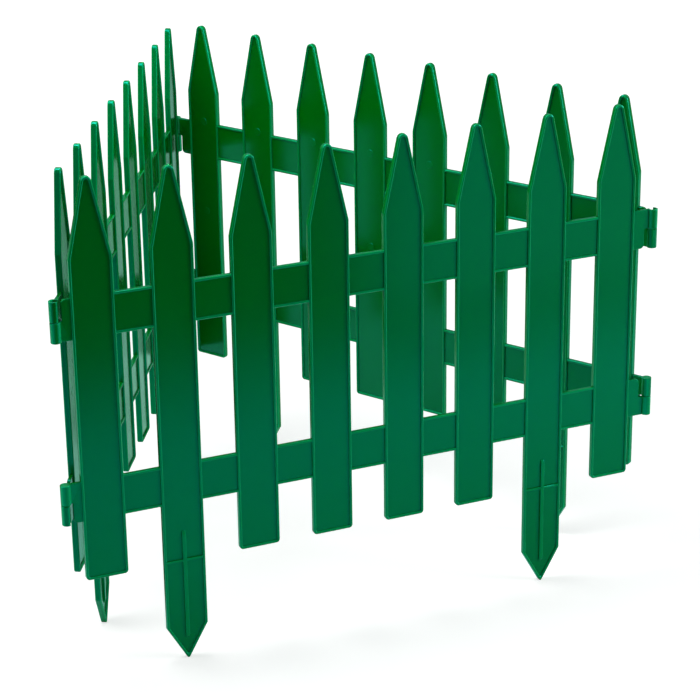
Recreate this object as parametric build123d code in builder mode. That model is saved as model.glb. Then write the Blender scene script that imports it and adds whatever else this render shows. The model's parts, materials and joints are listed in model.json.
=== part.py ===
from build123d import *
from math import acos, atan2, cos, hypot, radians, sin, sqrt, tan
import os

# Low garden fence: three like picket panels, clipped end to end into a closed triangle.
# Each panel is one plastic moulding. Seen from outside the triangle, the rails of a panel end
# in pins on the left and in open clips on the right, and each clip turns on a pin of the next panel.
# Millimetres, +Z up, origin on the floor under the middle of the triangle's box.
# The outer face of the front panel looks along -Y.

# Pickets: boards with a raised rim round a thin web, the same on both faces
PICKET_COUNT = 8
PICKET_PITCH = 54.0
PICKET_WIDTH = 29.0
PICKET_HEIGHT = 275.0
PICKET_THICKNESS = 4.4
POINT_HEIGHT = 53.0
POINT_RADIUS = 3.6
FOOT_RADIUS = 2.5
WEB_THICKNESS = 1.7
RIM_WIDTH = 1.9
RIM_ROUNDING = 0.5
POCKET_RADIUS = 0.8

# Ground spikes: two of the pickets, lengthened below the ground line
SPIKE_PICKETS = (1, 6)
SPIKE_LENGTH = 72.5
SPIKE_POINT_HEIGHT = 24.0
SPIKE_TIP_RADIUS = 1.2
RIB_WIDTH = 2.2
RIB_THICKNESS = 4.0
RIB_ABOVE_GROUND = 24.0
RIB_BELOW_GROUND = 55.0
RIB_RUN_OUT = 9.0
CROSS_RIB_HEIGHT = 1.6

# Rails: set back behind the rims of the pickets, with heights measured from the ground line
LOWER_RAIL_HEIGHT = 56.8
UPPER_RAIL_HEIGHT = 183.0
RAIL_DEPTH = 28.2
RAIL_THICKNESS = 3.7
RAIL_RIM_WIDTH = 1.9

# Corner hinges: a clip and a knuckle share the depth of each rail, a little outside the panel's middle.
# Each reach is from the end picket's middle to the hinge axis.
PIN_REACH = 25.0
CLIP_REACH = 29.6
HINGE_OFFSET = 0.7
KNUCKLE_DIAMETER = 7.0
KNUCKLE_GAP = 0.5
PIN_DIAMETER = 3.8
PIN_SETBACK = 2.5
PIN_CLEARANCE = 0.25
PIN_TAB_CLEARANCE = 1.1
CLIP_TAB_CLEARANCE = 2.9
TAB_THICKNESS = 2.4
TAB_CORNER_RADIUS = 3.0
MOUTH_START_ANGLE = 41.0
MOUTH_END_ANGLE = 120.0

# Places worked out from the sizes above
GROUND_LINE = SPIKE_LENGTH
HINGE_PLACE = ((PICKET_COUNT - 1) * PICKET_PITCH + PIN_REACH + CLIP_REACH) / 2
PICKET_PLACES = [PIN_REACH - HINGE_PLACE + index * PICKET_PITCH for index in range(PICKET_COUNT)]
PLAIN_PICKETS = [index for index in range(PICKET_COUNT) if index not in SPIKE_PICKETS]
BAY_WIDTH = PICKET_PITCH - PICKET_WIDTH
BAY_PLACES = [place + PICKET_WIDTH / 2 for place in PICKET_PLACES[:-1]]
KNUCKLE_RADIUS = KNUCKLE_DIAMETER / 2
PIN_RADIUS = PIN_DIAMETER / 2
COLUMN_HALF = (RAIL_DEPTH - KNUCKLE_GAP) / 2
LOWER_RAIL = GROUND_LINE + LOWER_RAIL_HEIGHT
UPPER_RAIL = GROUND_LINE + UPPER_RAIL_HEIGHT

# The hinge axes are the corners of the triangle, and the middle of its box is the origin
HINGE_DISTANCE = HINGE_PLACE / sqrt(3)
PANEL_DISTANCE = HINGE_DISTANCE - HINGE_OFFSET
MIDDLE_Y = -HINGE_DISTANCE / 2
PANEL_TURNS = {"front_panel": 0, "back_panel": 120, "left_panel": 240}


def sharp_rise(half_width, rise, radius):
    """Rise of the sharp corner whose rounded tip stands at the given rise over its shoulders."""
    reach = rise - radius
    half_angle = acos(radius / hypot(half_width, reach)) - atan2(reach, half_width)
    return half_width / tan(half_angle)


def flat_foot():
    """Corners of a foot that ends square at the ground line."""
    half = PICKET_WIDTH / 2
    return [(-half, GROUND_LINE), (half, GROUND_LINE)]


def spike_foot():
    """Corners of a foot that runs on below the ground line to a point on the floor."""
    half = PICKET_WIDTH / 2
    shoulder = GROUND_LINE - SPIKE_LENGTH + SPIKE_POINT_HEIGHT
    tip = shoulder - sharp_rise(half, SPIKE_POINT_HEIGHT, SPIKE_TIP_RADIUS)
    return [(-half, shoulder), (0, tip), (half, shoulder)]


def make_picket(foot, foot_radius):
    """A picket over the given foot corners, with its web recessed on both faces."""
    half = PICKET_WIDTH / 2
    shoulder = GROUND_LINE + PICKET_HEIGHT - POINT_HEIGHT
    apex = shoulder + sharp_rise(half, POINT_HEIGHT, POINT_RADIUS)
    corners = [*foot, (half, shoulder), (0, apex), (-half, shoulder)]

    with BuildPart() as picket:
        with BuildSketch(Plane.front) as outline:
            with BuildLine():
                Polyline(*corners, close=True)
            make_face()
            fillet(outline.vertices().group_by(Axis.Y)[-1], POINT_RADIUS)
            fillet(outline.vertices().group_by(Axis.Y)[0], foot_radius)
        extrude(amount=PICKET_THICKNESS / 2, both=True)

        faces = (Plane.front.offset(WEB_THICKNESS / 2), Plane.back.offset(WEB_THICKNESS / 2))
        with BuildSketch(*faces) as pocket:
            with BuildLine():
                Polyline(*corners, close=True)
            make_face()
            offset(amount=-RIM_WIDTH, kind=Kind.INTERSECTION, mode=Mode.REPLACE)
            fillet(pocket.vertices(), POCKET_RADIUS)
        extrude(amount=PICKET_THICKNESS, mode=Mode.SUBTRACT)

        rims = picket.faces().sort_by(Axis.Y)
        fillet(rims[0].edges() + rims[-1].edges(), RIM_ROUNDING)
    return picket.part


def tab_plate(reach, clearance, side):
    """Tab from the end picket to the hinge axis, along +X from the axis.

    On the given side of mid-depth, +1 for the upper, it is cut back to leave the other panel room to turn.
    """
    length = reach - PICKET_WIDTH / 2
    setback = KNUCKLE_RADIUS + clearance
    with BuildPart() as tab:
        with BuildSketch(Plane.XZ):
            with Locations((length / 2, 0)):
                Rectangle(length, RAIL_DEPTH)
            with Locations((setback / 2, side * (RAIL_DEPTH - KNUCKLE_GAP) / 4)):
                Rectangle(setback, (RAIL_DEPTH + KNUCKLE_GAP) / 2, mode=Mode.SUBTRACT)
        extrude(amount=TAB_THICKNESS / 2, both=True)
        corner = tab.edges().filter_by(Axis.Y).sort_by_distance((setback, 0, side * RAIL_DEPTH / 2))[0]
        fillet(corner, TAB_CORNER_RADIUS)
    return tab.part


def make_pin_end(side):
    """Tab, knuckle and pin at the left end of a rail, about its hinge axis and mid-depth.

    The side is +1 where the pin points up and -1 where it points down.
    """
    knuckle_base = Plane.XY.offset(-side * KNUCKLE_GAP / 2)
    tab = tab_plate(PIN_REACH, PIN_TAB_CLEARANCE, side)
    with BuildPart() as pin_end:
        with Locations((0, HINGE_OFFSET, 0)):
            add(tab)
        with BuildSketch(knuckle_base):
            Circle(KNUCKLE_RADIUS)
        extrude(amount=-side * COLUMN_HALF)
        with BuildSketch(knuckle_base):
            Circle(PIN_RADIUS)
        extrude(amount=side * (KNUCKLE_GAP + COLUMN_HALF - PIN_SETBACK))
    return pin_end.part


def mouth_corner(angle):
    """Corner of the clip's mouth cut, its angle counted from the tab towards the inner face."""
    reach = KNUCKLE_DIAMETER
    return (-reach * cos(radians(angle)), reach * sin(radians(angle)))


def make_clip_end(side):
    """Tab and open clip at the right end of a rail, about its hinge axis and mid-depth.

    The side is +1 where the clip is the upper half of the column and -1 where it is the lower.
    """
    clip_base = Plane.XY.offset(side * KNUCKLE_GAP / 2)
    tab = tab_plate(CLIP_REACH, CLIP_TAB_CLEARANCE, -side)
    with BuildPart() as clip_end:
        with Locations((0, HINGE_OFFSET, 0)):
            add(mirror(tab, about=Plane.YZ, mode=Mode.PRIVATE))
        with BuildSketch(clip_base):
            Circle(KNUCKLE_RADIUS)
        extrude(amount=side * COLUMN_HALF)
        # Bore for the pin, and the mouth that snaps over it
        with BuildSketch(clip_base):
            Circle(PIN_RADIUS + PIN_CLEARANCE)
            with BuildLine():
                Polyline((0, 0), mouth_corner(MOUTH_START_ANGLE), mouth_corner(MOUTH_END_ANGLE), close=True)
            make_face()
        extrude(amount=side * RAIL_DEPTH, mode=Mode.SUBTRACT)
    return clip_end.part


# A plain picket and a spiked one, each standing at the middle of the panel
plain_picket = make_picket(flat_foot(), FOOT_RADIUS)
spike_blank = make_picket(spike_foot(), SPIKE_TIP_RADIUS)

with BuildPart() as spike_picket:
    add(spike_blank)
    # Upright rib across the ground line, running out to the web at both ends
    with BuildSketch(Plane.YZ) as rib:
        with BuildLine():
            Polyline(
                (0, GROUND_LINE - RIB_BELOW_GROUND),
                (RIB_THICKNESS / 2, GROUND_LINE - RIB_BELOW_GROUND + RIB_RUN_OUT),
                (RIB_THICKNESS / 2, GROUND_LINE + RIB_ABOVE_GROUND - RIB_RUN_OUT),
                (0, GROUND_LINE + RIB_ABOVE_GROUND),
            )
            mirror(about=Plane.YZ)
        make_face()
    extrude(amount=RIB_WIDTH / 2, both=True)
    # Cross rib at the ground line, level with the lower rims of the plain pickets
    with Locations((0, 0, GROUND_LINE + CROSS_RIB_HEIGHT / 2)):
        Box(PICKET_WIDTH - RIM_WIDTH, RIB_THICKNESS, CROSS_RIB_HEIGHT)

# One bay of a rail, about its mid-depth
with BuildPart() as rail_bay:
    rim_offset = (RAIL_DEPTH - RAIL_RIM_WIDTH) / 2
    with BuildSketch(Plane.YZ):
        Rectangle(WEB_THICKNESS, 2 * rim_offset)
        with Locations((0, -rim_offset), (0, rim_offset)):
            RectangleRounded(RAIL_THICKNESS, RAIL_RIM_WIDTH, RIM_ROUNDING)
    extrude(amount=BAY_WIDTH)

pin_up_end = make_pin_end(1)
pin_down_end = make_pin_end(-1)
upper_clip_end = make_clip_end(1)
lower_clip_end = make_clip_end(-1)

with BuildPart() as panel:
    with Locations(*[(PICKET_PLACES[index], 0, 0) for index in PLAIN_PICKETS]):
        add(plain_picket)
    with Locations(*[(PICKET_PLACES[index], 0, 0) for index in SPIKE_PICKETS]):
        add(spike_picket.part)
    with Locations(*[(place, 0, rail) for place in BAY_PLACES for rail in (LOWER_RAIL, UPPER_RAIL)]):
        add(rail_bay.part)
    with Locations((-HINGE_PLACE, -HINGE_OFFSET, UPPER_RAIL)):
        add(pin_up_end)
    with Locations((-HINGE_PLACE, -HINGE_OFFSET, LOWER_RAIL)):
        add(pin_down_end)
    with Locations((HINGE_PLACE, -HINGE_OFFSET, UPPER_RAIL)):
        add(upper_clip_end)
    with Locations((HINGE_PLACE, -HINGE_OFFSET, LOWER_RAIL)):
        add(lower_clip_end)


def panel_floor(turn):
    """Floor plane of a panel, with X along the panel and Y towards the middle of the triangle."""
    return Plane(Pos(0, MIDDLE_Y) * Rot(0, 0, turn) * Pos(0, -PANEL_DISTANCE))


os.makedirs("parts", exist_ok=True)
for name, turn in PANEL_TURNS.items():
    with BuildPart(panel_floor(turn)) as placed_panel:
        add(panel.part)
    placed_panel.part.label = name
    export_step(placed_panel.part, f"parts/{name}.step")
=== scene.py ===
"""Dressed model of a low garden fence: three picket panels clipped into a triangle.

Each panel is one injection moulding. Its pickets, rail bays and hinge ends are modelled once, laid out and
fused by a Geometry Nodes tree, and turned into place round the middle of the triangle.
The fence's sizes are in millimetres until a mesh is written, which is in metres in the frame's own axes.
The studio's places and sizes are in metres.
"""
import cmath
import json
import logging
import math
from dataclasses import dataclass, field
from enum import Enum
from typing import Any, Iterable, Sequence

import bmesh
import bpy
from mathutils import Matrix, Vector


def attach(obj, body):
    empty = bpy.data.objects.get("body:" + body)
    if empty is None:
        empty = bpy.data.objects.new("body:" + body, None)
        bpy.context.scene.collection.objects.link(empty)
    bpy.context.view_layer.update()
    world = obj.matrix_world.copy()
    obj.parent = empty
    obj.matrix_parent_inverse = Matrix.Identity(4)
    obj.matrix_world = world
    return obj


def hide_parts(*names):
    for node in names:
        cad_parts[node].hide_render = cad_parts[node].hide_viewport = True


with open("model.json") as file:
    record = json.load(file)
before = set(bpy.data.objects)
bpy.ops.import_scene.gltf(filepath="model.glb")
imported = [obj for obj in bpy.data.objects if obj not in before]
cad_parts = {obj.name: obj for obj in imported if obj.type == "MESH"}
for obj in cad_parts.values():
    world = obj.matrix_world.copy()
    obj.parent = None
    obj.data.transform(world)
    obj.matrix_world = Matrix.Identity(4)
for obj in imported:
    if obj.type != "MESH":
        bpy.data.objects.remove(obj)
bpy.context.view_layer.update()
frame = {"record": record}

MM = 0.001
LOG = logging.getLogger("garden_fence")
RISE = "rise_over_web"
HIGHLIGHT_MASK = "burnished_edge"

Ring = list[Vector]


class Half(Enum):
    """Half of a hinge column. Each rail's clips and pins take the half that is named like the rail."""

    UPPER = 1
    LOWER = -1

    @property
    def other(self) -> "Half":
        """The half that is left to the knuckle."""
        return Half(-self.value)

    @property
    def label(self) -> str:
        """Start of the names of the layout's inputs for this half."""
        return self.name.capitalize()


class RailEnd(Enum):
    """End of a rail, with the way along X from its hinge axis to the end picket."""

    PIN = 1
    CLIP = -1


class PanelSide(Enum):
    """Side of the triangle, with its turn in degrees about the upright axis."""

    FRONT = 0.0
    BACK = 120.0
    LEFT = 240.0

    @property
    def body(self) -> str:
        """Name of the frame's body and node for this side."""
        return f"{self.name.lower()}_panel"


class Way(Enum):
    """Way along a profile's first number, forth or back, or along its second, up or down."""

    FORTH = 1 + 0j
    BACK = -1 + 0j
    UP = 1j
    DOWN = -1j


def linear(code: str) -> tuple[float, float, float, float]:
    """Turn an sRGB hex colour into linear RGBA.

    Args:
        code: Colour such as "#00643C".

    Returns:
        Linear red, green, blue and an alpha of one.
    """
    channels = [int(code[i:i + 2], 16) / 255 for i in (1, 3, 5)]
    return tuple(c / 12.92 if c <= 0.04045 else ((c + 0.055) / 1.055) ** 2.4 for c in channels) + (1.0,)


def add_node(
    tree: bpy.types.NodeTree, kind: str, inputs: dict[Any, Any] | None = None, **settings: Any
) -> bpy.types.Node:
    """Add a node, set it up and link it.

    Args:
        tree: Tree that gets the node.
        kind: Blender's type name of the node.
        inputs: Socket name or number to a value, an output socket, or a list of output sockets.
        settings: Attributes of the node.

    Returns:
        The new node.
    """
    node = tree.nodes.new(kind)
    for name, value in settings.items():
        setattr(node, name, value)
    for key, value in (inputs or {}).items():
        for source in value if isinstance(value, list) else [value]:
            if isinstance(source, bpy.types.NodeSocket):
                tree.links.new(source, node.inputs[key])
            else:
                node.inputs[key].default_value = source
    return node


def cross(a: complex, b: complex) -> float:
    """Signed area spanned by two plane vectors."""
    return (a.conjugate() * b).imag


def rounded_outline(
    corners: Sequence[complex], radii: Sequence[float], inset: float = 0.0, steps: int = 6
) -> list[complex]:
    """Closed outline with an arc at each corner, moved inwards by an inset.

    Args:
        corners: Corners, counter-clockwise, as complex numbers.
        radii: Radius of each corner's arc, after the inset.
        inset: Distance that every side moves inwards.
        steps: Spans in each arc, so that outlines of the same corners always match point for point.

    Returns:
        Points of the outline.
    """
    sides = []
    for i, start in enumerate(corners):
        way = corners[(i + 1) % len(corners)] - start
        way /= abs(way)
        sides.append((start + way * 1j * inset, way))
    points = []
    for i, radius in enumerate(radii):
        (p, u), (q, v) = sides[i - 1], sides[i]
        corner = p + u * cross(q - p, v) / cross(u, v)
        turn = cmath.phase(v / u)
        arm = -1j * u * math.copysign(radius, turn)
        centre = corner - u * radius * math.tan(abs(turn) / 2) - arm
        points += [centre + arm * cmath.exp(1j * turn * k / steps) for k in range(steps + 1)]
    return points


def quarter_steps(count: int) -> list[float]:
    """Angles that divide a quarter turn into a number of spans."""
    return [math.pi / 2 * k / count for k in range(count + 1)]


def corner_arc(corner: complex, arrive: Way, leave: Way, radius: float, steps: int) -> list[complex]:
    """Arc that rounds a square corner of a profile.

    Args:
        corner: The sharp corner.
        arrive: Way along which the profile comes to the corner.
        leave: Way along which it goes on.
        radius: Radius of the arc.
        steps: Spans in the arc.

    Returns:
        Points of the arc.
    """
    points = []
    for angle in quarter_steps(steps):
        before = arrive.value * radius * (1 - math.sin(angle))
        after = leave.value * radius * (1 - math.cos(angle))
        points.append(corner - before + after)
    return points


def lofted(rings: Sequence[Ring]) -> bmesh.types.BMesh:
    """Closed solid through rings that match point for point, capped at both ends.

    Args:
        rings: Rings of points in millimetres.

    Returns:
        The solid, with its faces pointing outwards.
    """
    solid = bmesh.new()
    loops = [[solid.verts.new(point) for point in ring] for ring in rings]
    for lower, upper in zip(loops, loops[1:]):
        for i, vert in enumerate(lower):
            solid.faces.new((lower[i - 1], vert, upper[i], upper[i - 1]))
    solid.faces.new(loops[0])
    solid.faces.new(loops[-1])
    bmesh.ops.recalc_face_normals(solid, faces=solid.faces)
    return solid


def template(name: str, solids: Sequence[bmesh.types.BMesh]) -> bpy.types.Object:
    """Object in metres that a node tree can copy, made of solids that may overlap.

    Args:
        name: Name of the object.
        solids: Solids in millimetres, which are freed.

    Returns:
        The object, not linked to the scene.
    """
    mesh = bpy.data.meshes.new(name)
    joined = bmesh.new()
    for solid in solids:
        solid.to_mesh(mesh)
        joined.from_mesh(mesh)
        solid.free()
    bmesh.ops.scale(joined, vec=(MM, MM, MM), verts=joined.verts)
    joined.to_mesh(mesh)
    joined.free()
    return bpy.data.objects.new(name, mesh)


@dataclass(frozen=True)
class MouldedPolypropylene:
    """Injection-moulded polypropylene, coloured through.

    The mould's polished steel leaves a smooth satin gloss: the colour stays deep where a face looks at the
    camera, and turns pale along edges and at grazing angles. The rims carry painted light: a lighter green
    where their rounded faces catch more light than the web, and a painted highlight along their edges.
    Pigment that followed the melt leaves faint streaks along the flow, and shrinkage leaves a slow
    waviness in the sheen.
    """

    name: str = "injection-moulded polypropylene"
    colour: str = "#005305"
    # Painted light: the rims a lighter green, and a painted highlight along their edges
    streak_colour: str = "#005608"
    rim_colour: str = "#006014"
    edge_colour: str = "#008A50"
    gloss_tint: str = "#00FFFF"
    ior: float = 1.49
    gloss: float = 0.6
    depth_of_light: float = 0.4
    light_reach_mm: tuple[float, float, float] = (0.1, 1.2, 0.2)
    roughness: tuple[float, float] = (0.14, 0.19)
    streak_mm: float = 40.0
    streak_stretch: float = 4.0
    streak_detail: float = 3.0
    streak_breakup: float = 0.55
    streak_range: tuple[float, float] = (0.1, 0.9)
    grain_mm: float = 1.5
    grain_depth_mm: float = 0.004
    grain_detail: float = 2.0
    grain_strength: float = 0.05

    def material(self) -> bpy.types.Material:
        """Build the node material.

        Returns:
            The material, on Object coordinates in metres.
        """
        made = bpy.data.materials.new(self.name)
        made.use_nodes = True
        tree = made.node_tree
        shader = tree.nodes["Principled BSDF"]
        place = add_node(tree, "ShaderNodeTexCoord").outputs["Object"]
        # Flow streaks run up the pickets, so the pattern is drawn out along Z
        drawn_out = add_node(tree, "ShaderNodeMapping", {
            "Vector": place, "Scale": (1, 1, 1 / self.streak_stretch),
        })
        streaks = add_node(tree, "ShaderNodeTexNoise", {
            "Vector": drawn_out.outputs[0], "Scale": 1 / (self.streak_mm * MM),
            "Detail": self.streak_detail, "Roughness": self.streak_breakup,
        })
        colours = add_node(tree, "ShaderNodeValToRGB", {"Fac": streaks.outputs["Fac"]})
        tones = (self.colour, self.streak_colour)
        for stop, position, tone in zip(colours.color_ramp.elements, self.streak_range, tones):
            stop.position = position
            stop.color = linear(tone)
        sheen = add_node(tree, "ShaderNodeMapRange", {
            "Value": streaks.outputs["Fac"],
            "From Min": self.streak_range[0], "From Max": self.streak_range[1],
            "To Min": self.roughness[0], "To Max": self.roughness[1],
        })
        # The polished steel's own grain is too fine to show, so it is drawn coarser
        grain = add_node(tree, "ShaderNodeTexNoise", {
            "Vector": place, "Scale": 1 / (self.grain_mm * MM), "Detail": self.grain_detail,
        })
        bump = add_node(tree, "ShaderNodeBump", {
            "Height": grain.outputs["Fac"],
            "Distance": self.grain_depth_mm * MM, "Strength": self.grain_strength,
        })
        # Painted light: the rims get a lighter green for the light that their rounded faces catch
        rise = add_node(tree, "ShaderNodeAttribute", attribute_name=RISE)
        body = add_node(tree, "ShaderNodeMixRGB", {
            "Fac": rise.outputs["Fac"], "Color1": colours.outputs["Color"], "Color2": linear(self.rim_colour),
        })
        # Painted highlight: a pale line along the sloped edges of the rims
        painted_highlight = add_node(tree, "ShaderNodeAttribute", attribute_name=HIGHLIGHT_MASK)
        highlighted = add_node(tree, "ShaderNodeMixRGB", {
            "Fac": painted_highlight.outputs["Fac"], "Color1": body.outputs[0], "Color2": linear(self.edge_colour),
        })
        tree.links.new(highlighted.outputs[0], shader.inputs["Base Color"])
        tree.links.new(sheen.outputs["Result"], shader.inputs["Roughness"])
        tree.links.new(bump.outputs["Normal"], shader.inputs["Normal"])
        shader.inputs["IOR"].default_value = self.ior
        shader.inputs["Specular IOR Level"].default_value = self.gloss
        shader.inputs["Subsurface Weight"].default_value = self.depth_of_light
        shader.inputs["Subsurface Radius"].default_value = self.light_reach_mm
        shader.inputs["Subsurface Scale"].default_value = MM
        # Seen squarely, the gloss mirrors almost no red
        shader.inputs["Specular Tint"].default_value = linear(self.gloss_tint)
        return made


@dataclass(frozen=True)
class Picket:
    """Pointed board with a raised rim round a thin web on both faces.

    The spikes' tips stand on the floor, and ground is the height of the ground line above it.
    """

    width: float = 29.0
    height: float = 275.0
    thickness: float = 4.4
    point_height: float = 53.0
    point_radius: float = 3.6
    shoulder_radius: float = 2.5
    foot_radius: float = 2.5
    web: float = 1.7
    rim: float = 1.9
    edge_radius: float = 0.95
    crest_radius: float = 0.9
    root_radius: float = 0.15
    pocket_radius: float = 0.8
    draft: float = 0.12
    ground: float = 72.5
    mark_diameter: float = 6.0
    mark_rise: float = 0.15
    mark_heights: tuple[float, ...] = (124.0, 198.0)
    mark_steps: int = 32
    edge_steps: int = 4
    inner_steps: int = 3

    def sharp_rise(self, rise: float, radius: float) -> float:
        """Rise of the sharp corner over its shoulders.

        Args:
            rise: Rise of the rounded tip.
            radius: Radius of the tip.

        Returns:
            Rise of the corner before it is rounded.
        """
        half, reach = self.width / 2, rise - radius
        half_angle = math.acos(radius / math.hypot(half, reach)) - math.atan2(reach, half)
        return half / math.tan(half_angle)

    def foot(self) -> list[tuple[complex, float]]:
        """Corners of the foot with their radii, from left to right."""
        half = self.width / 2
        return [(complex(x, self.ground), self.foot_radius) for x in (-half, half)]

    def corners(self) -> list[tuple[complex, float]]:
        """Find the corners of the whole board.

        Returns:
            Corners with their radii, counter-clockwise from the left of the foot.
        """
        half = self.width / 2
        shoulder = self.ground + self.height - self.point_height
        apex = shoulder + self.sharp_rise(self.point_height, self.point_radius)
        return [
            *self.foot(),
            (complex(half, shoulder), self.shoulder_radius),
            (complex(0, apex), self.point_radius),
            (complex(-half, shoulder), self.shoulder_radius),
        ]

    def section(self) -> list[complex]:
        """Draw the section of half the board, from its edge over the rim to its web.

        Returns:
            Points with the inset from the edge first and the depth from the mid-plane second.
        """
        face, web, wall = self.thickness / 2, self.web / 2, self.rim + self.draft
        return [
            *corner_arc(complex(0, face), Way.UP, Way.FORTH, self.edge_radius, self.edge_steps),
            *corner_arc(complex(self.rim, face), Way.FORTH, Way.DOWN, self.crest_radius, self.inner_steps),
            *corner_arc(complex(wall, web), Way.DOWN, Way.FORTH, self.root_radius, self.inner_steps),
            complex(wall + 2 * self.root_radius, web),
        ]

    def rings(self) -> list[Ring]:
        """Draw the board's outline at every step of its section.

        Returns:
            Rings from the web of the inner face, round the edge, to the web of the outer face.
        """
        corners, radii = zip(*self.corners())
        halves = []
        for step in self.section():
            fitted = [max(radius - step.real, self.pocket_radius) for radius in radii]
            halves.append((rounded_outline(corners, fitted, step.real), step.imag))
        inner = [[Vector((p.real, depth, p.imag)) for p in outline] for outline, depth in reversed(halves)]
        outer = [[Vector((p.real, -depth, p.imag)) for p in outline] for outline, depth in halves]
        return inner + outer

    def ejector_marks(self) -> list[bmesh.types.BMesh]:
        """Make the faint round pads that the mould's ejector pins leave on the inner face.

        Returns:
            One solid for each mark.
        """
        radius, face = self.mark_diameter / 2, self.web / 2
        profile = [(radius, 0.0), (radius, face), (radius - self.mark_rise, face + self.mark_rise)]
        turn = [cmath.exp(2j * math.pi * k / self.mark_steps) for k in range(self.mark_steps)]
        pads = []
        for height in self.mark_heights:
            rings = []
            for reach, depth in profile:
                ring = [complex(0, height) + reach * unit for unit in turn]
                rings.append([Vector((p.real, depth, self.ground + p.imag)) for p in ring])
            pads.append(lofted(rings))
        return pads

    def build(self) -> list[bmesh.types.BMesh]:
        """Solids of the picket, standing at the middle of a panel."""
        return [lofted(self.rings()), *self.ejector_marks()]


@dataclass(frozen=True)
class SpikePicket(Picket):
    """Picket that runs on below the ground line to a point, stiffened by an upright and a cross rib."""

    spike_point_height: float = 24.0
    spike_tip_radius: float = 1.2
    spike_shoulder_radius: float = 1.2
    rib_width: float = 2.7
    rib_thickness: float = Picket.thickness
    rib_above: float = 22.5
    rib_below: float = 57.0
    rib_run_out: float = 4.0
    cross_rib: float = 1.6
    rib_edge: float = 0.55
    rib_core: float = 0.1
    rib_edge_steps: int = 3
    run_out_steps: int = 5

    def foot(self) -> list[tuple[complex, float]]:
        """Find the corners of the spike, whose tip stands on the floor.

        Returns:
            Corners with their radii, from left to right.
        """
        half, shoulder = self.width / 2, self.spike_point_height
        tip = shoulder - self.sharp_rise(self.spike_point_height, self.spike_tip_radius)
        return [
            (complex(-half, shoulder), self.spike_shoulder_radius),
            (complex(0, tip), self.spike_tip_radius),
            (complex(half, shoulder), self.spike_shoulder_radius),
        ]

    def bar(self, width: float, thickness: float) -> list[complex]:
        """Draw the rounded section of a rib through both faces.

        Args:
            width: Size along the section's first number.
            thickness: Size along its second.

        Returns:
            Points of the section.
        """
        half = complex(width / 2, thickness / 2)
        corners = [-half, half.conjugate(), half, -half.conjugate()]
        return rounded_outline(corners, [self.rib_edge] * len(corners), steps=self.rib_edge_steps)

    def upright_rib(self) -> bmesh.types.BMesh:
        """Make the upright rib across the ground line, which sinks into the web at both ends.

        Returns:
            The rib's solid.
        """
        sunk = 2 * self.rib_edge + self.rib_core
        rings = []
        for end, step in ((self.ground - self.rib_below, 1), (self.ground + self.rib_above, -1)):
            run = []
            for angle in quarter_steps(self.run_out_steps):
                thickness = sunk + (self.rib_thickness - sunk) * math.sin(angle)
                height = end + step * self.rib_run_out * (1 - math.cos(angle))
                run.append([Vector((p.real, p.imag, height)) for p in self.bar(self.rib_width, thickness)])
            rings += run[::step]
        return lofted(rings)

    def level_rib(self) -> bmesh.types.BMesh:
        """Make the cross rib on the ground line, which ends inside the rims.

        Returns:
            The rib's solid.
        """
        reach = (self.width - self.rim) / 2
        height = self.ground + self.cross_rib / 2
        section = self.bar(self.rib_thickness, self.cross_rib)
        return lofted([[Vector((x, p.real, height + p.imag)) for p in section] for x in (-reach, reach)])

    def build(self) -> list[bmesh.types.BMesh]:
        """Solids of the spiked picket, standing at the middle of a panel."""
        return [*super().build(), self.upright_rib(), self.level_rib()]


@dataclass(frozen=True)
class RailBay:
    """Stretch of a rail between two pickets: a web with a rim along its top and bottom."""

    depth: float = 28.2
    thickness: float = 3.7
    rim: float = Picket.rim
    web: float = Picket.web
    edge_radius: float = 0.85
    root_radius: float = Picket.root_radius
    tuck: float = 0.6
    edge_steps: int = 4

    def build(self, span: float) -> list[bmesh.types.BMesh]:
        """Make the bay along X from the first picket's edge, with its ends tucked into the rims.

        Args:
            span: Distance between the edges of the two pickets.

        Returns:
            The bay's solid.
        """
        face, web, top = self.thickness / 2, self.web / 2, self.depth / 2
        under = top - self.rim
        half = [(face, -top), (face, -under), (web, -under), (web, under), (face, under), (face, top)]
        corners = [complex(y, z) for y, z in half] + [complex(-y, z) for y, z in reversed(half)]
        edge, root = self.edge_radius, self.root_radius
        radii = [edge, edge, root, root, edge, edge] * 2
        section = rounded_outline(corners, radii, steps=self.edge_steps)
        ends = (-self.tuck, span + self.tuck)
        return [lofted([[Vector((x, p.real, p.imag)) for p in section] for x in ends])]


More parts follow.
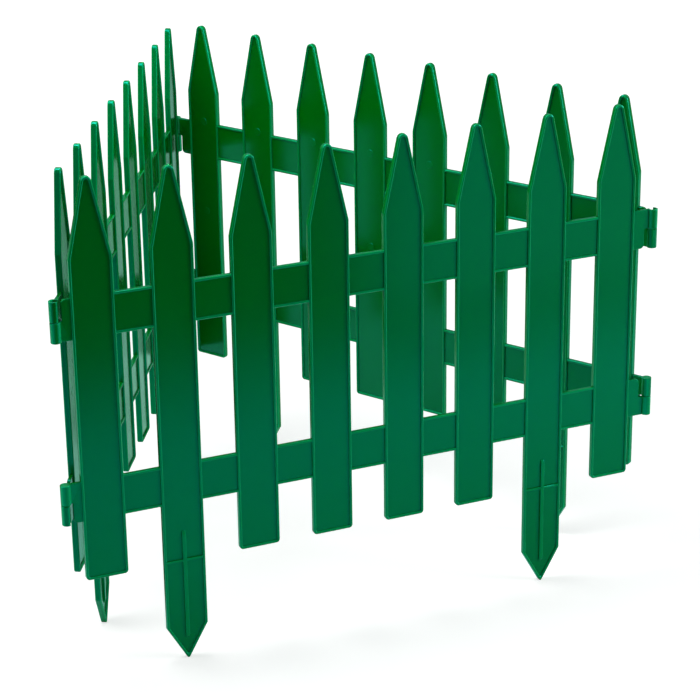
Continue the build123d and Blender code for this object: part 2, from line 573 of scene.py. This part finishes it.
@dataclass(frozen=True)
class HingeColumn:
    """Round column at the end of a rail, shared by a knuckle with its pin and by an open clip.

    A gap parts the two halves, and the axis lies by an offset outside the panel's mid-plane.
    """

    depth: float = RailBay.depth
    diameter: float = 7.0
    gap: float = 0.5
    pin_diameter: float = 3.8
    pin_setback: float = 2.5
    pin_clearance: float = 0.25
    tab_thickness: float = 2.4
    tab_corner: float = 3.0
    offset: float = 0.7
    edge_radius: float = 0.4
    least_radius: float = 0.1
    tuck: float = RailBay.tuck
    segments: int = 48
    edge_steps: int = 3
    lip_steps: int = 6

    def tab(self, span: float, root: float, setback: float, cut: Half, end: RailEnd) -> bmesh.types.BMesh:
        """Make the tab between the end picket and the column.

        Args:
            span: Distance from the hinge axis to the end picket's edge.
            root: Distance from the axis at which the tab starts inside the column.
            setback: Distance from the axis to which one half is cut back.
            cut: Half that is cut back.
            end: End of the rail that the tab is on.

        Returns:
            The tab's solid.
        """
        reach, top, ledge = span + self.tuck, self.depth / 2, -self.gap / 2
        inside = complex(setback, ledge)
        crisp = self.edge_radius + self.least_radius
        corners = [
            (complex(root, -top), crisp),
            (complex(reach, -top), crisp),
            (complex(reach, top), crisp),
            (complex(setback, top), self.tab_corner),
            (inside, crisp),
            (complex(root, ledge), crisp),
        ]
        face, edge = self.tab_thickness / 2, self.edge_radius
        section = corner_arc(complex(0, face), Way.UP, Way.FORTH, edge, self.edge_steps)
        section.append(complex(2 * edge, face))
        rings = []
        for step in [point.conjugate() for point in reversed(section)] + section:
            # An inset tightens every corner but the inside one, which it opens
            fitted = [
                radius + step.real if point == inside else max(radius - step.real, self.least_radius)
                for point, radius in corners
            ]
            outline = rounded_outline([point for point, _ in corners], fitted, step.real)
            rings.append([
                Vector((end.value * p.real, step.imag + self.offset, cut.value * p.imag)) for p in outline
            ])
        return lofted(rings)

    def turned(self, profile: Sequence[complex], half: Half) -> bmesh.types.BMesh:
        """Make a solid of revolution about the hinge axis.

        Args:
            profile: Points with the radius first and the height second, from one end to the other.
            half: Half of the column towards which the heights count.

        Returns:
            The solid.
        """
        angles = [2 * math.pi * k / self.segments for k in range(self.segments)]
        return lofted([
            [Vector((p.real * math.cos(a), p.real * math.sin(a), half.value * p.imag)) for a in angles]
            for p in profile
        ])

    def pin_end(self, span: float, clearance: float, half: Half) -> list[bmesh.types.BMesh]:
        """Make the tab, the knuckle and the pin.

        Args:
            span: Distance from the hinge axis to the end picket's edge.
            clearance: Room between the column and the tab in the clip's half.
            half: Half of the column that the pin reaches into.

        Returns:
            The solids, about the hinge axis at mid-depth.
        """
        radius, pin, edge = self.diameter / 2, self.pin_diameter / 2, self.edge_radius
        bottom, top = -self.depth / 2, -self.gap / 2
        tip = self.depth / 2 - self.pin_setback
        profile = [
            *corner_arc(complex(radius, bottom), Way.FORTH, Way.UP, edge, self.edge_steps),
            *corner_arc(complex(radius, top), Way.UP, Way.BACK, edge, self.edge_steps),
            *corner_arc(complex(pin, top), Way.BACK, Way.UP, edge, self.edge_steps),
            *corner_arc(complex(pin, tip), Way.UP, Way.BACK, edge, self.edge_steps),
        ]
        return [self.tab(span, pin, radius + clearance, half, RailEnd.PIN), self.turned(profile, half)]

    def clip_end(
        self, span: float, clearance: float, mouth: tuple[float, float], half: Half
    ) -> list[bmesh.types.BMesh]:
        """Make the tab and the open clip.

        Args:
            span: Distance from the hinge axis to the end picket's edge.
            clearance: Room between the column and the tab in the knuckle's half.
            mouth: Angles at which the mouth starts and ends, counted from the tab towards the inner face.
            half: Half of the column that the clip takes.

        Returns:
            The solids, about the hinge axis at mid-depth.
        """
        bore = self.pin_diameter / 2 + self.pin_clearance
        half_wall = (self.diameter / 2 - bore) / 2
        mean = bore + half_wall
        lip = math.degrees(half_wall / mean)
        first = math.radians(180 - mouth[1] - lip)
        last = math.radians(180 - mouth[0] + lip - 360)
        sweep = [first + (last - first) * k / self.segments for k in range(self.segments + 1)]
        low, high = complex(0, self.gap / 2), complex(0, self.depth / 2)
        levels = corner_arc(low, Way.BACK, Way.UP, self.edge_radius, self.edge_steps)
        levels += corner_arc(high, Way.UP, Way.FORTH, self.edge_radius, self.edge_steps)
        rings = []
        for level in levels:
            thin = half_wall - level.real
            outer = [cmath.rect(mean + thin, a) for a in sweep]
            inner = [cmath.rect(mean - thin, a) for a in reversed(sweep)]
            lips = []
            for place, start in ((last, last), (first, first + math.pi)):
                centre, arm = cmath.rect(mean, place), cmath.rect(thin, start)
                turns = [cmath.exp(-1j * math.pi * k / self.lip_steps) for k in range(1, self.lip_steps)]
                lips.append([centre + arm * turn for turn in turns])
            outline = outer + lips[0] + inner + lips[1]
            rings.append([Vector((p.real, p.imag, half.value * level.imag)) for p in outline])
        tab = self.tab(span, mean, self.diameter / 2 + clearance, half.other, RailEnd.CLIP)
        return [tab, lofted(rings)]


class PanelLayout:
    """Node tree that sets pickets, rail bays and hinge ends out along a panel and fuses them."""

    def __init__(self, pieces: Iterable[str], sizes: Iterable[str]) -> None:
        """Start the tree with its named inputs.

        Args:
            pieces: Names of the inputs for pieces.
            sizes: Names of the inputs for sizes and angles.
        """
        self.tree = bpy.data.node_groups.new("picket_panel", "GeometryNodeTree")
        self.tree.is_modifier = True
        inputs = {
            "NodeSocketObject": pieces,
            "NodeSocketFloat": sizes,
            "NodeSocketInt": ("Count", "First spike", "Last spike"),
            "NodeSocketMaterial": ("Material",),
        }
        for kind, names in inputs.items():
            for name in names:
                self.tree.interface.new_socket(name, in_out="INPUT", socket_type=kind)
        self.tree.interface.new_socket("Geometry", in_out="OUTPUT", socket_type="NodeSocketGeometry")
        self.given = dict(add_node(self.tree, "NodeGroupInput").outputs.items())

    def picket_row(self) -> list[bpy.types.NodeSocket]:
        """Set the pickets out along the panel, two of them with spikes.

        Returns:
            The plain pickets and the spiked ones.
        """
        tree, given = self.tree, self.given
        index = add_node(tree, "GeometryNodeInputIndex").outputs[0]
        either = {}
        for i, name in enumerate(("First spike", "Last spike")):
            # Sockets 2 and 3 compare whole numbers
            same = add_node(tree, "FunctionNodeCompare", {
                2: index, 3: given[name],
            }, data_type="INT", operation="EQUAL")
            either[i] = same.outputs[0]
        spiked = add_node(tree, "FunctionNodeBooleanMath", either, operation="OR")
        plain = add_node(tree, "FunctionNodeBooleanMath", {0: spiked.outputs[0]}, operation="NOT")
        start = add_node(tree, "ShaderNodeCombineXYZ", {"X": given["First picket"]})
        step = add_node(tree, "ShaderNodeCombineXYZ", {"X": given["Pitch"]})
        row = add_node(tree, "GeometryNodeMeshLine", {
            "Count": given["Count"], "Start Location": start.outputs[0], "Offset": step.outputs[0],
        }, mode="OFFSET")
        laid = []
        for name, chosen in (("Picket", plain), ("Spike picket", spiked)):
            board = add_node(tree, "GeometryNodeObjectInfo", {"Object": given[name]})
            boards = add_node(tree, "GeometryNodeInstanceOnPoints", {
                "Points": row.outputs["Mesh"], "Selection": chosen.outputs[0],
                "Instance": board.outputs["Geometry"],
            })
            laid.append(boards.outputs[0])
        return laid

    def rail(self, half: Half) -> list[bpy.types.NodeSocket]:
        """Set out one rail: its bays, its pin end on the left and its clip end on the right.

        Args:
            half: Half of the hinge columns that the rail's clips and pins take.

        Returns:
            The bays, the pin end and the clip end.
        """
        tree, given = self.tree, self.given
        level, first = given[f"{half.label} rail"], given["First picket"]
        bays = add_node(tree, "ShaderNodeMath", {0: given["Count"], 1: 1.0}, operation="SUBTRACT")
        edge = add_node(tree, "ShaderNodeMath", {0: first, 1: given["Half width"]}, operation="ADD")
        start = add_node(tree, "ShaderNodeCombineXYZ", {"X": edge.outputs[0], "Z": level})
        step = add_node(tree, "ShaderNodeCombineXYZ", {"X": given["Pitch"]})
        row = add_node(tree, "GeometryNodeMeshLine", {
            "Count": bays.outputs[0], "Start Location": start.outputs[0], "Offset": step.outputs[0],
        }, mode="OFFSET")
        bay = add_node(tree, "GeometryNodeObjectInfo", {"Object": given["Rail bay"]})
        stretch = add_node(tree, "GeometryNodeInstanceOnPoints", {
            "Points": row.outputs["Mesh"], "Instance": bay.outputs["Geometry"],
        })
        laid = [stretch.outputs[0]]
        outside = add_node(tree, "ShaderNodeMath", {0: given["Hinge offset"], 1: -1.0}, operation="MULTIPLY")
        left = add_node(tree, "ShaderNodeMath", {0: given["Hinge place"], 1: -1.0}, operation="MULTIPLY")
        for end, x in ((RailEnd.PIN, left.outputs[0]), (RailEnd.CLIP, given["Hinge place"])):
            piece = given[f"{half.label} {end.name.lower()} end"]
            shape = add_node(tree, "GeometryNodeObjectInfo", {"Object": piece})
            place = add_node(tree, "ShaderNodeCombineXYZ", {"X": x, "Y": outside.outputs[0], "Z": level})
            hung = add_node(tree, "GeometryNodeTransform", {
                "Geometry": shape.outputs["Geometry"], "Translation": place.outputs[0],
            })
            laid.append(hung.outputs[0])
        return laid

    def fused(self, parts: list[bpy.types.NodeSocket]) -> bpy.types.NodeSocket:
        """Fuse all that is laid out into one body.

        Args:
            parts: Pickets, bays and hinge ends.

        Returns:
            The body, in the panel's own axes.
        """
        laid = add_node(self.tree, "GeometryNodeJoinGeometry", {"Geometry": parts})
        loose = add_node(self.tree, "GeometryNodeRealizeInstances", {"Geometry": laid.outputs[0]})
        # Ribs, marks and knuckles overlap their own piece, so every loose solid is fused by itself
        island = add_node(self.tree, "GeometryNodeInputMeshIsland").outputs["Island Index"]
        solids = add_node(self.tree, "GeometryNodeSplitToInstances", {
            "Geometry": loose.outputs[0], "Group ID": island,
        }, domain="FACE")
        body = add_node(self.tree, "GeometryNodeMeshBoolean", {
            "Mesh 2": solids.outputs[0],
        }, operation="UNION", solver="MANIFOLD")
        return body.outputs[0]

    def marked(self, body: bpy.types.NodeSocket) -> bpy.types.NodeSocket:
        """Mark on the body what its material reads: the rise over the web, for the rims' painted light, and
        the painted highlight on the sloped edges of the rims.

        Args:
            body: Body in the panel's own axes.

        Returns:
            The body with both attributes.
        """
        tree, given = self.tree, self.given
        place = add_node(tree, "GeometryNodeInputPosition").outputs[0]
        across = add_node(tree, "ShaderNodeSeparateXYZ", {0: place}).outputs["Y"]
        depth = add_node(tree, "ShaderNodeMath", {0: across}, operation="ABSOLUTE")
        rise = add_node(tree, "ShaderNodeMapRange", {
            "Value": depth.outputs[0], "From Min": given["Web face"], "From Max": given["Rim face"],
        }).outputs["Result"]
        normal = add_node(tree, "GeometryNodeInputNormal").outputs[0]
        outward = add_node(tree, "ShaderNodeSeparateXYZ", {0: normal}).outputs["Y"]
        facing = add_node(tree, "ShaderNodeMath", {0: outward}, operation="ABSOLUTE").outputs[0]
        # Facing times what it lacks of one peaks at a quarter, on slopes, so four times that is a full
        # painted highlight
        lack = add_node(tree, "ShaderNodeMath", {0: 1.0, 1: facing}, operation="SUBTRACT")
        slope = add_node(tree, "ShaderNodeMath", {0: facing, 1: lack.outputs[0]}, operation="MULTIPLY")
        full = add_node(tree, "ShaderNodeMath", {0: slope.outputs[0], 1: 4.0}, operation="MULTIPLY")
        painted_highlight = add_node(tree, "ShaderNodeMath", {0: full.outputs[0], 1: rise}, operation="MULTIPLY")
        for name, value in ((RISE, rise), (HIGHLIGHT_MASK, painted_highlight.outputs[0])):
            body = add_node(tree, "GeometryNodeStoreNamedAttribute", {
                "Geometry": body, "Name": name, "Value": value,
            }, data_type="FLOAT", domain="POINT").outputs[0]
        return body

    def stood(self, body: bpy.types.NodeSocket) -> bpy.types.NodeSocket:
        """Stand the body on its side of the triangle.

        Args:
            body: Body in the panel's own axes.

        Returns:
            The body in the frame's axes.
        """
        tree, given = self.tree, self.given
        out = add_node(tree, "ShaderNodeMath", {0: given["Distance"], 1: -1.0}, operation="MULTIPLY")
        away = add_node(tree, "ShaderNodeCombineXYZ", {"Y": out.outputs[0]})
        turn = add_node(tree, "ShaderNodeCombineXYZ", {"Z": given["Turn"]})
        middle = add_node(tree, "ShaderNodeCombineXYZ", {"Y": given["Middle"]})
        moved = add_node(tree, "GeometryNodeTransform", {"Geometry": body, "Translation": away.outputs[0]})
        turned = add_node(tree, "GeometryNodeTransform", {
            "Geometry": moved.outputs[0], "Rotation": turn.outputs[0], "Translation": middle.outputs[0],
        })
        return turned.outputs[0]

    def finished(self, body: bpy.types.NodeSocket) -> None:
        """Shade the body smooth between its sharp edges, give it its material and end the tree.

        Args:
            body: Body in the frame's axes.
        """
        tree, given = self.tree, self.given
        smooth = add_node(tree, "GeometryNodeSetShadeSmooth", {"Geometry": body, "Shade Smooth": True})
        bend = add_node(tree, "GeometryNodeInputMeshEdgeAngle").outputs["Unsigned Angle"]
        sharp = add_node(tree, "FunctionNodeCompare", {
            0: bend, 1: given["Sharp angle"],
        }, operation="GREATER_THAN")
        creased = add_node(tree, "GeometryNodeSetShadeSmooth", {
            "Geometry": smooth.outputs[0], "Selection": sharp.outputs[0], "Shade Smooth": False,
        }, domain="EDGE")
        real = add_node(tree, "GeometryNodeRealizeInstances", {"Geometry": creased.outputs[0]})
        dressed = add_node(tree, "GeometryNodeSetMaterial", {
            "Geometry": real.outputs[0], "Material": given["Material"],
        })
        add_node(tree, "NodeGroupOutput", {"Geometry": dressed.outputs[0]})

    def build(self) -> bpy.types.NodeTree:
        """Add the nodes, from the row of pickets to the output.

        Returns:
            The tree.
        """
        parts = self.picket_row()
        for half in (Half.LOWER, Half.UPPER):
            parts += self.rail(half)
        self.finished(self.stood(self.marked(self.fused(parts))))
        return self.tree


@dataclass(frozen=True)
class Panel:
    """One moulding: a row of pickets on two rails, with pins at its left end and clips at its right."""

    picket: Picket = field(default_factory=Picket)
    spike: SpikePicket = field(default_factory=SpikePicket)
    bay: RailBay = field(default_factory=RailBay)
    column: HingeColumn = field(default_factory=HingeColumn)
    count: int = 8
    pitch: float = 54.0
    spikes: tuple[int, int] = (1, 6)
    lower_rail: float = 56.8
    upper_rail: float = 183.0
    pin_reach: float = 25.0
    clip_reach: float = 29.6
    pin_tab_clearance: float = 1.1
    clip_tab_clearance: float = 2.9
    mouth: tuple[float, float] = (41.0, 120.0)
    sharp_angle: float = 38.0

    @property
    def hinge_place(self) -> float:
        """Distance of either hinge axis from the panel's middle."""
        return ((self.count - 1) * self.pitch + self.pin_reach + self.clip_reach) / 2

    def templates(self) -> dict[str, bpy.types.Object]:
        """Make the pieces that the layout copies.

        Returns:
            The pieces by the name of the layout's input.
        """
        column, half_width = self.column, self.picket.width / 2
        pieces = {
            "Picket": template("plain_picket", self.picket.build()),
            "Spike picket": template("spike_picket", self.spike.build()),
            "Rail bay": template("rail_bay", self.bay.build(self.pitch - self.picket.width)),
        }
        for half in Half:
            pin = column.pin_end(self.pin_reach - half_width, self.pin_tab_clearance, half)
            clip = column.clip_end(self.clip_reach - half_width, self.clip_tab_clearance, self.mouth, half)
            pieces[f"{half.label} pin end"] = template(f"{half.name.lower()}_pin_end", pin)
            pieces[f"{half.label} clip end"] = template(f"{half.name.lower()}_clip_end", clip)
        return pieces

    def sizes(self) -> dict[str, float]:
        """Work out the sizes that the layout reads.

        Returns:
            Sizes in metres and an angle in radians, by the name of the layout's input.
        """
        ground = self.picket.ground
        return {
            "Pitch": self.pitch * MM,
            "First picket": (self.pin_reach - self.hinge_place) * MM,
            "Half width": self.picket.width / 2 * MM,
            "Web face": self.picket.web / 2 * MM,
            "Rim face": self.picket.thickness / 2 * MM,
            "Hinge place": self.hinge_place * MM,
            "Hinge offset": self.column.offset * MM,
            "Lower rail": (ground + self.lower_rail) * MM,
            "Upper rail": (ground + self.upper_rail) * MM,
            "Sharp angle": math.radians(self.sharp_angle),
        }

    def moulded(self, side: PanelSide, tree: bpy.types.NodeTree, values: dict[str, Any]) -> bpy.types.Object:
        """Run the layout for one side and keep its result as a plain mesh.

        Args:
            side: Side of the triangle.
            tree: The layout.
            values: Values of the layout's inputs by name, apart from the turn.

        Returns:
            The panel.
        """
        name = f"{side.body}_moulding"
        panel = bpy.data.objects.new(name, bpy.data.meshes.new(f"{name}_blank"))
        bpy.context.scene.collection.objects.link(panel)
        setter = panel.modifiers.new("layout", "NODES")
        setter.node_group = tree
        sockets = {item.name: item.identifier for item in tree.interface.items_tree if item.in_out == "INPUT"}
        for label, value in {**values, "Turn": math.radians(side.value)}.items():
            setter[sockets[label]] = value
        flat = panel.modifiers.new("flat faces stay flat", "WEIGHTED_NORMAL")
        flat.keep_sharp = True
        view = bpy.context.evaluated_depsgraph_get()
        mesh = bpy.data.meshes.new_from_object(panel.evaluated_get(view))
        panel.modifiers.clear()
        mesh.name = name
        panel.data = mesh
        return panel

    def build(self, material: bpy.types.Material) -> dict[PanelSide, bpy.types.Object]:
        """Make the three panels as plain meshes in their places.

        Args:
            material: Finish of the moulding.

        Returns:
            The panels by side.
        """
        joints = frame["record"]["behaviour"]["joints"]
        hinge = next(joint for joint in joints if joint["name"] == "right_corner_hinge")
        hinge_distance = self.hinge_place * MM / math.sqrt(3)
        pieces = self.templates()
        sizes = {
            **self.sizes(),
            "Distance": hinge_distance - self.column.offset * MM,
            "Middle": hinge["pos_m"][1] + hinge_distance,
        }
        tree = PanelLayout(pieces, (*sizes, "Turn")).build()
        values = {
            **pieces,
            **sizes,
            "Count": self.count,
            "First spike": self.spikes[0],
            "Last spike": self.spikes[1],
            "Material": material,
        }
        panels = {side: self.moulded(side, tree, values) for side in PanelSide}
        for piece in pieces.values():
            bpy.data.objects.remove(piece)
        return panels

    def dress(self, panels: dict[PanelSide, bpy.types.Object]) -> None:
        """Fasten each panel to its body in the frame, in place of the frame's own part, which is hidden.

        Args:
            panels: The panels by side.
        """
        for side, panel in panels.items():
            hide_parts(side.body)
            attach(panel, side.body)
            LOG.info("%s: %d faces", panel.name, len(panel.data.polygons))


@dataclass(frozen=True)
class SoftLight:
    """Square softbox aimed at a point."""

    name: str
    place: tuple[float, float, float]
    size: float
    power: float
    aim: tuple[float, float, float] = (0.0, 0.0, 0.15)
    colour: str = "#A8FFF8"

    def build(self) -> None:
        """Hang the light."""
        lamp = bpy.data.lights.new(self.name, "AREA")
        lamp.size = self.size
        lamp.energy = self.power
        lamp.color = linear(self.colour)[:3]
        holder = bpy.data.objects.new(self.name, lamp)
        holder.location = self.place
        holder.rotation_euler = (Vector(self.aim) - Vector(self.place)).to_track_quat("-Z", "Y").to_euler()
        bpy.context.scene.collection.objects.link(holder)


@dataclass(frozen=True)
class Studio:
    """White table, softboxes and the camera of the product picture.

    The table and the backdrop are white for the camera alone. The fence has no metal or glass to show them,
    and its gloss mirrors graded paper, darkened near the camera by a painted shade, and a dim room, which
    keep the webs deep.
    """

    floor_box: tuple[float, float, float, float] = (-1.0, -0.75, 5.0, 7.0)
    # Painted shade: the paper darkens towards the near edge, where the lamps' light falls off
    paper_tones: tuple[tuple[float, str], ...] = (
        (-0.8, "#101010"), (-0.54, "#A0DAE4"), (-0.35, "#A0CED0"), (0.1, "#FFE5D6"),
    )
    balanced_paper: str = "#F4A0A4"
    lift: tuple[float, float] = (0.6, 0.97)
    lift_reach: tuple[float, float] = (0.35, 1.6)
    sky: str = "#74C0BA"
    ground: str = "#1A4A47"
    horizon: tuple[float, float] = (0.47, 0.55)
    lights: tuple[SoftLight, ...] = (
        SoftLight("overhead_softbox", (-0.35, 0.1, 1.4), 0.6, 10.0),
        SoftLight("right_softbox", (1.05, -0.75, 0.6), 0.5, 13.0),
        SoftLight("left_softbox", (-1.5, 0.4, 1.5), 1.0, 18.0),
        SoftLight("inner_softbox", (-0.12, -0.1, 0.62), 0.2, 1.2, (0.0, 0.15, 0.2)),
        SoftLight("right_card", (1.13, -1.395, -0.1), 1.1, 3.5, (0.0, 0.0, 0.1)),
    )
    camera_place: tuple[float, float, float] = (-0.5831, -1.4895, 0.7531)
    camera_yaw: float = 23.58
    camera_pitch: float = 21.17
    camera_roll: float = -0.745
    focal_length: float = 117.36
    sensor: float = 36.0

    def paper(self, tree: bpy.types.NodeTree, place: bpy.types.NodeSocket) -> bpy.types.NodeSocket:
        """Grade the table's paper by depth, with a painted shade that darkens it towards the near edge.

        Args:
            tree: Tree that gets the nodes.
            place: Place on the table.

        Returns:
            The paper's colour, which sets how deep the webs look that mirror it.
        """
        near, far = self.paper_tones[0][0], self.paper_tones[-1][0]
        depth = add_node(tree, "ShaderNodeSeparateXYZ", {0: place}).outputs["Y"]
        grade = add_node(tree, "ShaderNodeMapRange", {"Value": depth, "From Min": near, "From Max": far})
        tones = add_node(tree, "ShaderNodeValToRGB", {"Fac": grade.outputs["Result"]})
        stops = tones.color_ramp.elements
        for reach, _ in self.paper_tones[1:-1]:
            stops.new((reach - near) / (far - near))
        for stop, (_, tone) in zip(stops, self.paper_tones):
            stop.color = linear(tone)
        return tones.outputs[0]

    def table_finish(self) -> bpy.types.Material:
        """Make the matt paper, which is white for the camera and keeps the soft shadow.

        Returns:
            The table's material.
        """
        finish = bpy.data.materials.new("matt white table")
        finish.use_nodes = True
        tree = finish.node_tree
        tree.nodes.clear()
        seen = add_node(tree, "ShaderNodeLightPath").outputs["Is Camera Ray"]
        place = add_node(tree, "ShaderNodeTexCoord").outputs["Object"]
        # The lamps are cool, so the paper that the camera sees is balanced against them
        white = add_node(tree, "ShaderNodeMixRGB", {
            "Fac": seen, "Color1": self.paper(tree, place), "Color2": linear(self.balanced_paper),
        })
        paint = add_node(tree, "ShaderNodeBsdfDiffuse", {"Color": white.outputs[0]})
        # A glow for the camera alone lifts the paper to white, and less so near the fence and its shadow
        away = add_node(tree, "ShaderNodeVectorMath", {0: place}, operation="LENGTH").outputs["Value"]
        lift = add_node(tree, "ShaderNodeMapRange", {
            "Value": away, "From Min": self.lift_reach[0], "From Max": self.lift_reach[1],
            "To Min": self.lift[0], "To Max": self.lift[1],
        })
        strength = add_node(tree, "ShaderNodeMath", {
            0: seen, 1: lift.outputs["Result"],
        }, operation="MULTIPLY")
        glow = add_node(tree, "ShaderNodeEmission", {"Strength": strength.outputs[0]})
        both = add_node(tree, "ShaderNodeAddShader", {0: paint.outputs[0], 1: glow.outputs[0]})
        add_node(tree, "ShaderNodeOutputMaterial", {"Surface": both.outputs[0]})
        return finish

    def floor(self) -> None:
        """Lay the table under the fence."""
        left, near, right, far = self.floor_box
        corners = [(left, near, 0), (right, near, 0), (right, far, 0), (left, far, 0)]
        mesh = bpy.data.meshes.new("table")
        mesh.from_pydata(corners, [], [(0, 1, 2, 3)])
        mesh.materials.append(self.table_finish())
        table = bpy.data.objects.new("table", mesh)
        bpy.context.scene.collection.objects.link(table)

    def surroundings(self) -> None:
        """Cool room light that is dim below the horizon, with a white backdrop for the camera."""
        world = bpy.data.worlds.new("studio")
        bpy.context.scene.world = world
        world.use_nodes = True
        tree = world.node_tree
        tree.nodes.clear()
        seen = add_node(tree, "ShaderNodeLightPath").outputs["Is Camera Ray"]
        way = add_node(tree, "ShaderNodeTexCoord").outputs["Generated"]
        height = add_node(tree, "ShaderNodeSeparateXYZ", {0: way}).outputs["Z"]
        # The share counts from straight down to straight up, with the horizon half way
        share = add_node(tree, "ShaderNodeMapRange", {"Value": height, "From Min": -1.0, "From Max": 1.0})
        grade = add_node(tree, "ShaderNodeValToRGB", {"Fac": share.outputs["Result"]})
        for stop, position, tone in zip(grade.color_ramp.elements, self.horizon, (self.ground, self.sky)):
            stop.position = position
            stop.color = linear(tone)
        room = add_node(tree, "ShaderNodeBackground", {"Color": grade.outputs["Color"]})
        white = add_node(tree, "ShaderNodeBackground", {"Color": (1, 1, 1, 1)})
        mixed = add_node(tree, "ShaderNodeMixShader", {0: seen, 1: room.outputs[0], 2: white.outputs[0]})
        add_node(tree, "ShaderNodeOutputWorld", {"Surface": mixed.outputs[0]})

    def camera(self) -> None:
        """Camera at the picture's viewing angle."""
        yaw, pitch, roll = (math.radians(a) for a in (self.camera_yaw, self.camera_pitch, self.camera_roll))
        ahead = Vector((math.sin(yaw) * math.cos(pitch), math.cos(yaw) * math.cos(pitch), -math.sin(pitch)))
        right = ahead.cross(Vector((0, 0, 1))).normalized()
        up = right.cross(ahead)
        across = right * math.cos(roll) + up * math.sin(roll)
        lens = bpy.data.cameras.new("product_camera")
        lens.lens = self.focal_length
        lens.sensor_width = self.sensor
        holder = bpy.data.objects.new("product_camera", lens)
        turn = Matrix((across, ahead.cross(-across), -ahead)).transposed()
        holder.matrix_world = Matrix.Translation(Vector(self.camera_place)) @ turn.to_4x4()
        bpy.context.scene.collection.objects.link(holder)
        bpy.context.scene.camera = holder

    def build(self) -> None:
        """Set up the table, the light and the camera."""
        self.floor()
        self.surroundings()
        for light in self.lights:
            light.build()
        self.camera()
        bpy.context.scene.view_settings.view_transform = "Standard"
        LOG.info("studio: %d softboxes", len(self.lights))


def main() -> None:
    """Build the fence and the studio in order."""
    logging.basicConfig(level=logging.INFO, format="%(name)s: %(message)s")
    moulding = Panel()
    moulding.dress(moulding.build(MouldedPolypropylene().material()))
    Studio().build()


if __name__ == "__main__":
    main()
